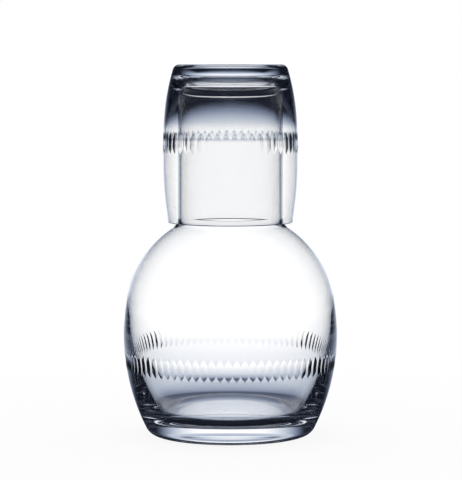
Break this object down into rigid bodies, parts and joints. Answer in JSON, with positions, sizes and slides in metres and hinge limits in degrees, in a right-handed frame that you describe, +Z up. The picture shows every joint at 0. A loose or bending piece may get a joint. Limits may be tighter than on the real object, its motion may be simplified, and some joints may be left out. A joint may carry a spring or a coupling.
{
  "type": "bedside carafe with tumbler",
  "caption": "Clear glass bedside carafe with a round belly, thick base and straight neck, covered by an upturned barrel-shaped tumbler; both carry a band of wheel-cut lens-shaped cuts.",
  "frame": {"origin": "centre of the carafe's foot, on the plane that it stands on", "axes": "+Z up along the common axis of the carafe and the tumbler; X and Y are any two level directions, as both glasses are round"},
  "size_m": [0.11, 0.11, 0.1908],
  "materials": {
    "carafe_glass": "clear, fire-polished, with polished wheel cuts",
    "tumbler_glass": "clear, fire-polished, with polished wheel cuts"
  },
  "bodies": {
    "carafe": {"carafe": "carafe_glass"},
    "tumbler": {"tumbler": "tumbler_glass"}
  },
  "joints": [
    {"name": "tumbler_lift", "type": "slide", "parent": "carafe", "child": "tumbler", "axis": [0, 0, 1], "range_m": [0, 0.08]}
  ]
}
